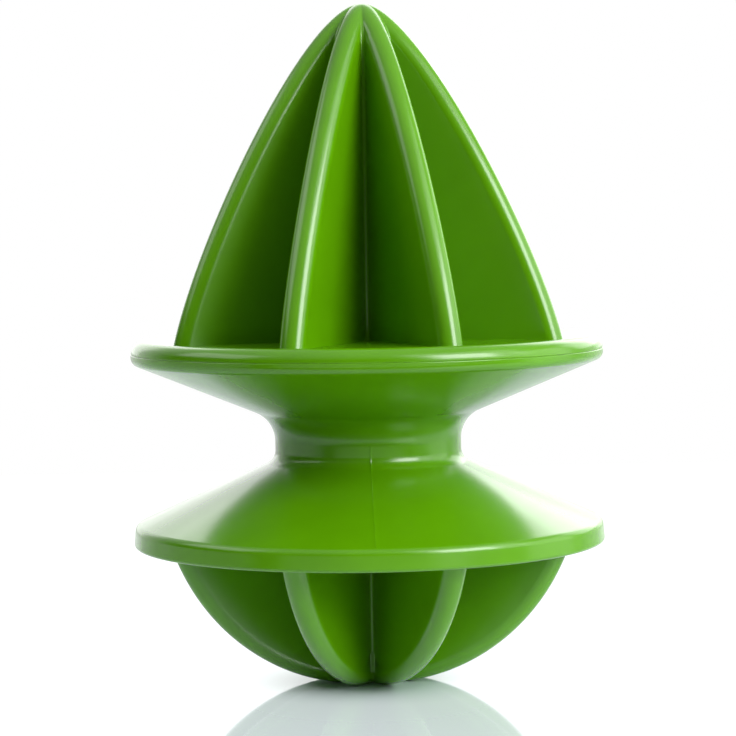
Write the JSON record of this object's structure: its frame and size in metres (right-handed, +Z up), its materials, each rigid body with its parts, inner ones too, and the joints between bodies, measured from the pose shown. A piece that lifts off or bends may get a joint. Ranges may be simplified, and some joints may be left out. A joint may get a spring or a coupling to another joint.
{
  "type": "citrus juicer",
  "caption": "Double-ended hand citrus reamer: a tall pointed finned head and a shallow rounded finned head on a hollow waisted spool grip with two wide collars.",
  "frame": {"origin": "centre of the small flat that the rounded head stands on", "axes": "+Z up along the reamer's axis towards the pointed tip; a flute faces each of +X, -X, +Y and -Y"},
  "size_m": [0.09, 0.09, 0.1293],
  "materials": {
    "green_plastic": "gloss moulded",
    "silicone": "matte moulded"
  },
  "bodies": {
    "root": {"pointed_reamer": "green_plastic", "grip_spool": "green_plastic", "rounded_reamer": "green_plastic", "upper_seal_ring": "silicone", "lower_seal_ring": "silicone"}
  },
  "joints": []
}
